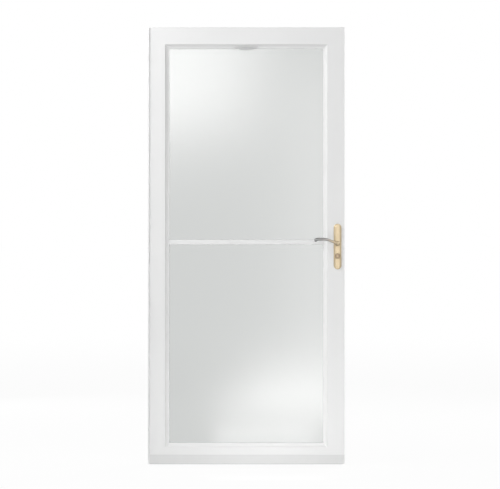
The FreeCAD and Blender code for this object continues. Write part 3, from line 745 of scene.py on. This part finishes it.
# %% Lever path
neck_low, neck_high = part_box("outside_lever")
spindle_low, spindle_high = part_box("lever_spindle")
spindle_x = (spindle_low.x + spindle_high.x) / 2
spindle_z = (spindle_low.z + spindle_high.z) / 2
half_width = 6.6 * mm
half_depth = 5.5 * mm
bar_inset = 1.5 * mm
bar_y = neck_low.y + bar_inset + half_depth
shank_slope = math.radians(21.0)
grip_slope = math.radians(-1.0)
curl_slope = math.radians(-52.0)
knee_radius = 95.0 * mm
curl_radius = 15.0 * mm
lever_runs = [
    (40.0 * mm, shank_slope, 16),
    ((shank_slope - grip_slope) * knee_radius, grip_slope, 12),
    (18.0 * mm, grip_slope, 16),
    ((grip_slope - curl_slope) * curl_radius, curl_slope, 12),
]
tip_steps = 8
tip_fade = 8.15


def lever_path():
    slope = shank_slope
    x, z = spindle_x, spindle_z
    points = [(x, z)]
    for length, end_slope, steps in lever_runs:
        bend = (end_slope - slope) / steps
        for _ in range(steps):
            slope += bend / 2
            x -= length / steps * math.cos(slope)
            z += length / steps * math.sin(slope)
            slope += bend / 2
            points.append((x, z))
    tip = []
    for i in range(1, tip_steps + 1):
        reach = half_width * math.sin(math.pi / 2 * i / tip_steps)
        tip.append((x - reach * math.cos(slope), z + reach * math.sin(slope)))
    return points, tip


def hump(share, middle, width):
    return math.exp(-((share - middle) / width) ** 2)


def girth_at(share):
    waist = 0.10 * hump(share, middle=0.28, width=0.16)
    swell = 0.06 * hump(share, middle=0.80, width=0.15)
    return 0.98 - waist + swell


bar_points, tip_points = lever_path()
girths = [girth_at(i / (len(bar_points) - 1)) for i in range(len(bar_points))]
tip_girths = [girths[-1] * math.cos(math.pi / 2 * i / tip_fade) for i in range(1, tip_steps + 1)]
path_points = [(x, bar_y, z) for x, z in bar_points + tip_points]
path = bpy.data.meshes.new("lever_path")
path.from_pydata(path_points, [(i, i + 1) for i in range(len(path_points) - 1)], [])
girth = path.attributes.new("girth", "FLOAT", "POINT")
girth.data.foreach_set("value", girths + tip_girths)
print("lever path", len(path_points), "points, tip at", [round(v, 4) for v in path_points[-1]])

# %% [markdown]
# The sweep tree turns the path into a curve, scales an oval profile by the girth, and carries it along.
# The curve's normal is set to the depth direction, so that the oval cannot twist on its way round the
# bends.

# %% The sweep tree
sweep_tree, sweep_in, sweep_out = start_tree("lever_sweep", [
    ("Half width", "NodeSocketFloat"),
    ("Half depth", "NodeSocketFloat"),
    ("Sides", "NodeSocketInt"),
    ("Material", "NodeSocketMaterial"),
])
depth_way = (0.0, 1.0, 0.0)
sweep_curve = add_node(sweep_tree, "GeometryNodeMeshToCurve")
sweep_normal = add_node(sweep_tree, "GeometryNodeSetCurveNormal", {"Normal": depth_way}, mode="FREE")
sweep_oval = add_node(sweep_tree, "GeometryNodeCurvePrimitiveCircle", {"Radius": 1.0})
sweep_size = add_node(sweep_tree, "ShaderNodeCombineXYZ", {"Z": 1.0})
sweep_fit = add_node(sweep_tree, "GeometryNodeTransform")
sweep_girth = add_node(sweep_tree, "GeometryNodeInputNamedAttribute", {"Name": "girth"},
                       data_type="FLOAT")
sweep_mesh = add_node(sweep_tree, "GeometryNodeCurveToMesh", {"Fill Caps": True})
sweep_real = add_node(sweep_tree, "GeometryNodeRealizeInstances")
sweep_coat = add_node(sweep_tree, "GeometryNodeSetMaterial")
connect(sweep_tree,
        (sweep_in.outputs["Geometry"], sweep_curve.inputs["Mesh"]),
        (sweep_curve.outputs["Curve"], sweep_normal.inputs["Curve"]),
        (sweep_normal.outputs["Curve"], sweep_mesh.inputs["Curve"]),
        (sweep_in.outputs["Sides"], sweep_oval.inputs["Resolution"]),
        (sweep_in.outputs["Half depth"], sweep_size.inputs["X"]),
        (sweep_in.outputs["Half width"], sweep_size.inputs["Y"]),
        (sweep_oval.outputs["Curve"], sweep_fit.inputs["Geometry"]),
        (sweep_size.outputs["Vector"], sweep_fit.inputs["Scale"]),
        (sweep_fit.outputs["Geometry"], sweep_mesh.inputs["Profile Curve"]),
        (sweep_girth.outputs["Attribute"], sweep_mesh.inputs["Scale"]),
        (sweep_mesh.outputs["Mesh"], sweep_real.inputs["Geometry"]),
        (sweep_real.outputs["Geometry"], sweep_coat.inputs["Geometry"]),
        (sweep_in.outputs["Material"], sweep_coat.inputs["Material"]),
        (sweep_coat.outputs["Geometry"], sweep_out.inputs["Geometry"]))
print(sweep_tree.name, "has", len(sweep_tree.nodes), "nodes")

# %% [markdown]
# The neck is turned: a collar against the plate, a waist, and a domed end that closes the lever's root.
# Bar and neck become one mesh. The indoor lever is its mirror image about the middle of the leaf, and
# since a mirror turns a surface inside out, its faces are flipped back.

# %% Levers outdoors and indoors
def lever_shape():
    bar = bmesh.new()
    bar.from_mesh(grow(path.copy(), sweep_tree, {
        "Half width": half_width, "Half depth": half_depth, "Sides": 28, "Material": lever_brass}))
    reach = (neck_high.y - neck_low.y) / mm
    neck = turned(in_mm([
        (0.0, 0.0), (8.0, 0.0), (8.0, 7.0), (11.0, 7.0), (11.0, 8.6), (10.5, 9.8), (9.2, 10.6),
        (7.8, 12.5), (7.0, 17.0), (6.8, 24.0), (7.1, 34.0), (7.8, 41.0), (8.0, 46.0),
        (8.0, reach - 2.2), (7.4, reach - 0.9), (5.6, reach - 0.2), (0.0, reach)]), sides=40)
    neck.transform(outdoors(spindle_x, spindle_z, neck_high.y))
    add_shape(bar, neck)
    bmesh.ops.recalc_face_normals(bar, faces=bar.faces)
    return bar


shape_piece("outside_lever_handle", lever_shape(), "lever_handle", lever_brass,
            ["outside_lever"])
leaf_middle = (neck_low.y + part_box("inside_lever")[1].y) / 2
mirror = Matrix.Diagonal((1.0, -1.0, 1.0, 1.0))
inside_lever = lever_shape()
inside_lever.transform(Matrix.Translation((0.0, 2 * leaf_middle, 0.0)) @ mirror)
bmesh.ops.reverse_faces(inside_lever, faces=inside_lever.faces)
shape_piece("inside_lever_handle", inside_lever, "lever_handle", lever_brass,
            ["inside_lever"])
print("leaf middle at y", round(leaf_middle / mm, 2), "mm")

# %% [markdown]
# ## Finger pull
# Under the top rail's cove sits a slim, lens-shaped pull, which draws the screen down. Fingers go into a
# shallow hollow between its two lips, and that hollow is what shows as a dark line from afar. The CAD
# pull has the lens and its slant, and this piece replaces it, with a flatter upper curve: rings of the
# lens, each a little smaller, first give a rounded lip and then step down into the hollow.

# %% Finger pull
pull_low, pull_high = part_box("top_pull")
pull_middle = (pull_low.x + pull_high.x) / 2
pull_seat_y = -0.0233
lower_rise = 9.6 * mm
tip_line = pull_low.z + lower_rise
cove_run = 11.0
cove_rise = 16.0
slant = Vector((0.0, -cove_run, cove_rise)).normalized()
outward = Vector((1.0, 0.0, 0.0)).cross(slant)
upper_share = 0.55
end_share = 5.0
pull_rings = [
    (0.0, -5.0), (0.0, -0.9), (0.3, -0.3), (0.9, 0.0), (1.6, 0.0), (1.9, -0.5), (2.1, -2.0),
    (2.5, -4.1), (3.4, -4.6)]


def lens_points(inset, steps=24):
    half = (pull_high.x - pull_low.x) / 2 - end_share * inset
    upper = upper_share * (pull_high.z - tip_line) / slant.z - inset
    lower = (tip_line - pull_low.z) / slant.z - inset
    shares = [-1.0 + 2.0 * i / steps for i in range(steps + 1)]
    top = [(half * t, upper * (1.0 - t * t)) for t in shares[1:]]
    bottom = [(half * t, -lower * (1.0 - t * t)) for t in reversed(shares[:-1])]
    return top + bottom


pull_shape = stack_rings([
    [(x, y, rise) for x, y in lens_points(inset)] for inset, rise in in_mm(pull_rings)])
pull_frame = Matrix(((1.0, 0.0, 0.0), slant, outward)).transposed().to_4x4()
pull_frame.translation = (pull_middle, pull_seat_y, tip_line)
pull_shape.transform(pull_frame)
shape_piece("finger_pull", pull_shape, "door_leaf", pull_plastic, ["top_pull"])

# %% [markdown]
# ## Screws
# Screws hold the indoor lock plate, the lock's faceplate, the strike and the expander. Each is a shallow
# dome with a cross recess, so that it reads as a screw up close. The head is built as a small mesh: three
# rings for the dome, a cross-shaped loop bridged to the last of them, and the same cross again, smaller
# and deeper. The row tree sets the heads, spun by a fixed seed, because no two screws stop at the same
# angle.

# %% Screw heads
def edges_round(shape, loop):
    ahead = loop[1:] + loop[:1]
    return [shape.edges.get(pair) for pair in zip(loop, ahead)]


def screw_head(radius, rise):
    shape = bmesh.new()
    dome = []
    spread = circle(20)
    for share, height in ((1.0, 0.0), (0.94, rise * 0.55), (0.72, rise)):
        dome.append([shape.verts.new((radius * share * x, radius * share * y, height)) for x, y in spread])
    arm = radius * 0.52
    slot = radius * 0.13
    cross = [(arm, -slot), (arm, slot), (slot, slot), (slot, arm), (-slot, arm), (-slot, slot),
             (-arm, slot), (-arm, -slot), (-slot, -slot), (-slot, -arm), (slot, -arm), (slot, -slot)]
    mouth = [shape.verts.new((x, y, rise)) for x, y in cross]
    bed = [shape.verts.new((x * 0.75, y * 0.75, rise * 0.35)) for x, y in cross]
    skin(shape, dome)
    skin(shape, [mouth, bed])
    bmesh.ops.bridge_loops(shape, edges=edges_round(shape, dome[-1]) + edges_round(shape, mouth))
    shape.faces.new(bed)
    shape.faces.new(list(reversed(dome[0])))
    bmesh.ops.recalc_face_normals(shape, faces=shape.faces)
    return shape


def empty_start():
    return bpy.data.meshes.new("start")


def screw_row(name, body, material, head, count, first, step, facing, seed):
    mesh = in_row(empty_start(), head, material, count, first, step, facing, full_turn, seed)
    make_piece(name, mesh, body, material)

# %% [markdown]
# Two screws sit near the ends of each plate, sunk a little so that no gap shows under the head, and four
# run along the expander's indoor side.

# %% Screws on plates, strike and expander
brass_sink = 0.4 * mm
steel_sink = 0.2 * mm
plate_screw_reach = 0.094
faceplate_margin = 0.011
strike_margin = 0.008
foot_first_x = 0.115
foot_step = 0.225
foot_rise = 0.026
face_low, face_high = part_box("lock_faceplate")
strike_low, strike_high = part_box("strike_plate")
foot_low, foot_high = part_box("bottom_expander")
face_y = (face_low.y + face_high.y) / 2
strike_y = (strike_low.y + strike_high.y) / 2

screw_row("inside_plate_screws", "door_leaf", plate_brass,
          screw_head(radius=3.2 * mm, rise=1.1 * mm), count=2,
          first=(plate_x, inside_high.y - brass_sink, plate_z - plate_screw_reach),
          step=(0.0, 0.0, 2 * plate_screw_reach), facing=(0.0, 1.0, 0.0), seed=7)
screw_row("faceplate_screws", "door_leaf", plated_steel,
          screw_head(radius=3.4 * mm, rise=0.7 * mm), count=2,
          first=(face_high.x - steel_sink, face_y, face_low.z + faceplate_margin),
          step=(0.0, 0.0, face_high.z - face_low.z - 2 * faceplate_margin),
          facing=(1.0, 0.0, 0.0), seed=11)
screw_row("strike_screws", "mounting_frame", plated_steel,
          screw_head(radius=3.0 * mm, rise=0.7 * mm), count=2,
          first=(strike_low.x + steel_sink, strike_y, strike_low.z + strike_margin),
          step=(0.0, 0.0, strike_high.z - strike_low.z - 2 * strike_margin),
          facing=(-1.0, 0.0, 0.0), seed=13)
screw_row("expander_screws", "door_leaf", plated_steel,
          screw_head(radius=3.8 * mm, rise=1.8 * mm), count=4,
          first=(foot_first_x, foot_high.y, foot_low.z + foot_rise),
          step=(foot_step, 0.0, 0.0), facing=(0.0, 1.0, 0.0), seed=17)

# %% [markdown]
# ## Grip ribs on the sash latches
# Two plastic latches on the sash's indoor side are pushed by thumb, so their sloping face has a row of
# low ribs. One rib is a small rounded bar, and the row tree sets seven on each latch, square to the slope.

# %% Grip ribs on the sash latches
ribs = 7
rib_pitch = 4.0 * mm
rib_y = 6.95 * mm
rib_z = 8.7 * mm
rib_low = (-0.55 * mm, -3.2 * mm, -0.6 * mm)
rib_high = (0.55 * mm, 3.2 * mm, 0.55 * mm)
rib_edge = 0.35 * mm
off_slope = Vector((0.0, 7.6, 2.0)).normalized()
for side in ("left", "right"):
    latch_low, latch_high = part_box(side + "_sash_latch")
    middle = (latch_low.x + latch_high.x) / 2
    first_rib = (middle - (ribs - 1) / 2 * rib_pitch, latch_low.y + rib_y, latch_low.z + rib_z)
    rib_row = in_row(empty_start(), rounded_block(rib_low, rib_high, rib_edge), latch_plastic, ribs,
                     first_rib, (rib_pitch, 0.0, 0.0), tuple(off_slope))
    make_piece(side + "_latch_ribs", rib_row, "door_leaf", latch_plastic)

# %% [markdown]
# ## Floor
# The photograph has a plain white ground with no line between floor and wall. The floor is pale and takes
# the door's shadow, and for rays from the camera, from metal and through glass most of it is plain white:
# a little less near the door, where the shadow falls, and almost all of it some metres away, so that no
# horizon shows.

# %% Floor finish
door_middle = 0.457
white_near = 0.94
white_far = 0.9995
fade_from = 0.6
fade_to = 12.0
plain_white = (1.0, 1.0, 1.0, 1.0)


def seen_rays(tree):
    ray = add_node(tree, "ShaderNodeLightPath")
    either = add_node(tree, "ShaderNodeMath", operation="MAXIMUM")
    any_of = add_node(tree, "ShaderNodeMath", operation="MAXIMUM")
    connect(tree,
            (ray.outputs["Is Camera Ray"], either.inputs[0]),
            (ray.outputs["Is Glossy Ray"], either.inputs[1]),
            (either.outputs["Value"], any_of.inputs[0]),
            (ray.outputs["Is Transmission Ray"], any_of.inputs[1]))
    return any_of.outputs["Value"]


def white_by_distance(tree):
    spots = add_node(tree, "ShaderNodeTexCoord")
    place = add_node(tree, "ShaderNodeMapping", {"Location": (-door_middle, 0.0, 0.0)})
    away = add_node(tree, "ShaderNodeVectorMath", operation="LENGTH")
    fade = add_node(tree, "ShaderNodeMapRange", {
        "From Min": fade_from, "From Max": fade_to, "To Min": white_near, "To Max": white_far},
        interpolation_type="SMOOTHSTEP")
    connect(tree,
            (spots.outputs["Object"], place.inputs["Vector"]),
            (place.outputs["Vector"], away.inputs[0]),
            (away.outputs["Value"], fade.inputs["Value"]))
    return fade.outputs["Result"]


floor_paint, tree, shader = new_finish("pale_floor")
shader.inputs["Roughness"].default_value = 0.9
pale = add_ramp(tree, add_noise(tree, scale=1.5), (0.84, 0.84, 0.84), (0.87, 0.87, 0.87))
glow = add_node(tree, "ShaderNodeEmission", {"Color": plain_white, "Strength": 1.0})
blend = add_node(tree, "ShaderNodeMixShader")
white = add_node(tree, "ShaderNodeMath", operation="MULTIPLY")
connect(tree,
        (pale, shader.inputs["Base Color"]),
        (seen_rays(tree), white.inputs[0]),
        (white_by_distance(tree), white.inputs[1]),
        (white.outputs["Value"], blend.inputs["Fac"]),
        (shader.outputs["BSDF"], blend.inputs[1]),
        (glow.outputs["Emission"], blend.inputs[2]),
        (blend.outputs["Shader"], tree.nodes["Material Output"].inputs["Surface"]))
print(floor_paint.name, "fades to white over", fade_to, "m")

# %% [markdown]
# The floor itself is one wide grid, a hair below the door's foot. It reaches so far that its edge can't be
# seen, and it isn't part of the door.

# %% Floor sheet
floor_reach = 400.0
floor_drop = 0.5 * mm
floor_shape = bmesh.new()
bmesh.ops.create_grid(floor_shape, x_segments=4, y_segments=4, size=floor_reach)
floor_shape.transform(Matrix.Translation((door_middle, 0.0, -floor_drop)))
floor_mesh = bpy.data.meshes.new("floor")
floor_shape.to_mesh(floor_mesh)
floor_shape.free()
floor_mesh.materials.append(floor_paint)
floor = bpy.data.objects.new("floor", floor_mesh)
bpy.context.scene.collection.objects.link(floor)
print("floor reaches", floor_reach, "m from the door")

# %% [markdown]
# ## World
# The world does as the floor does: it is white where it is seen, in metal and through glass too, and
# weaker where it only lights the door.

# %% World
ambient = 0.2
world = bpy.data.worlds.new("studio")
bpy.context.scene.world = world
world.use_nodes = True
tree = world.node_tree
background = tree.nodes["Background"]
background.inputs["Color"].default_value = plain_white
rest = add_node(tree, "ShaderNodeMath", {1: 1.0 - ambient}, operation="MULTIPLY")
level = add_node(tree, "ShaderNodeMath", {1: ambient}, operation="ADD")
connect(tree,
        (seen_rays(tree), rest.inputs[0]),
        (rest.outputs["Value"], level.inputs[0]),
        (level.outputs["Value"], background.inputs["Strength"]))
print("world lights the door at", ambient)

# %% [markdown]
# ## Studio lamps
# The coves tell where the light stood: the left one and the top one are dim, the right one and the bottom
# bead are bright, so the main lamp is up on the left, with two more beside it that graze the face. A lamp
# in front on the right lifts the latch side. Cards in front mirror in the glass, high on the left, upright
# at the right edge and low on the right, and give the panes their slow change of tone. Two lamps behind
# the door light its indoor side and its latch edge.

# %% Studio lamps
def soft_box(name, at, aim, size, watts):
    lamp = bpy.data.lights.new(name, "AREA")
    lamp.shape = "RECTANGLE"
    lamp.size = size[0]
    lamp.size_y = size[1]
    lamp.energy = watts
    box = bpy.data.objects.new(name, lamp)
    bpy.context.scene.collection.objects.link(box)
    box.location = at
    box.rotation_euler = (Vector(aim) - Vector(at)).to_track_quat("-Z", "Y").to_euler()
    box.visible_camera = False
    print(name, "radiance", round(watts / (math.pi * size[0] * size[1]), 2))


soft_box("main_lamp", at=(-1.7, -1.5, 3.3), aim=(0.3, 0.0, 1.3), size=(1.0, 1.0), watts=40.0)
soft_box("side_lamp", at=(-1.8, -0.6, 3.0), aim=(0.6, 0.0, 1.0), size=(0.8, 0.8), watts=11.4)
soft_box("side_card", at=(-2.4, -0.6, 1.7), aim=(0.6, 0.0, 1.2), size=(0.6, 1.6), watts=5.0)
soft_box("right_lamp", at=(2.4, -4.0, 3.4), aim=(0.8, 0.0, 1.1), size=(1.0, 1.0), watts=33.0)
soft_box("high_card", at=(0.02, -4.0, 2.3), aim=(0.45, 0.0, 1.2), size=(0.95, 1.0), watts=13.8)
soft_box("edge_card", at=(-0.25, -3.0, 2.0), aim=(0.3, 0.0, 1.5), size=(0.5, 0.8), watts=2.4)
soft_box("right_card", at=(1.15, -4.0, 1.15), aim=(0.8, 0.0, 1.1), size=(0.8, 2.2), watts=9.2)
soft_box("low_card", at=(0.92, -2.6, 0.16), aim=(0.7, 0.0, 0.3), size=(0.9, 0.3), watts=3.1)
soft_box("floor_card", at=(0.70, -1.6, 0.12), aim=(0.65, 0.0, 0.2), size=(0.8, 0.22), watts=1.6)
soft_box("near_card", at=(0.55, -0.55, 0.06), aim=(0.55, 0.0, 0.12), size=(0.5, 0.12), watts=0.40)
soft_box("back_lamp", at=(2.5, 2.5, 2.4), aim=(0.5, 0.0, 1.0), size=(1.6, 1.6), watts=54.0)
soft_box("back_card", at=(-1.4, 3.2, 1.4), aim=(0.5, 0.0, 1.0), size=(1.2, 1.8), watts=27.0)

# %% [markdown]
# ## Camera
# The photograph shows the door square on, with no narrowing towards the top, so the camera stands far off
# with a long lens. One pixel of the photograph covers 4.65 mm of the door, which sets the lens, and the
# middle of the picture falls at x = 0.475 and z = 1.022 on the door, which sets the place.

# %% Camera
pixels_wide = 500
pixel = 4.65 * mm
view_x = 0.4747
view_z = 1.0221
front_face_y = -0.028
distance = 8.0
sensor = 36.0
lens = bpy.data.cameras.new("camera")
lens.sensor_width = sensor
lens.lens = sensor * distance / (pixels_wide * pixel)
lens.clip_end = 1000.0
camera = bpy.data.objects.new("camera", lens)
bpy.context.scene.collection.objects.link(camera)
camera.location = (view_x, front_face_y - distance, view_z)
camera.rotation_euler = (math.pi / 2, 0.0, 0.0)
bpy.context.scene.camera = camera
bpy.context.scene.view_settings.view_transform = "Standard"
print("lens", round(lens.lens, 1), "mm")
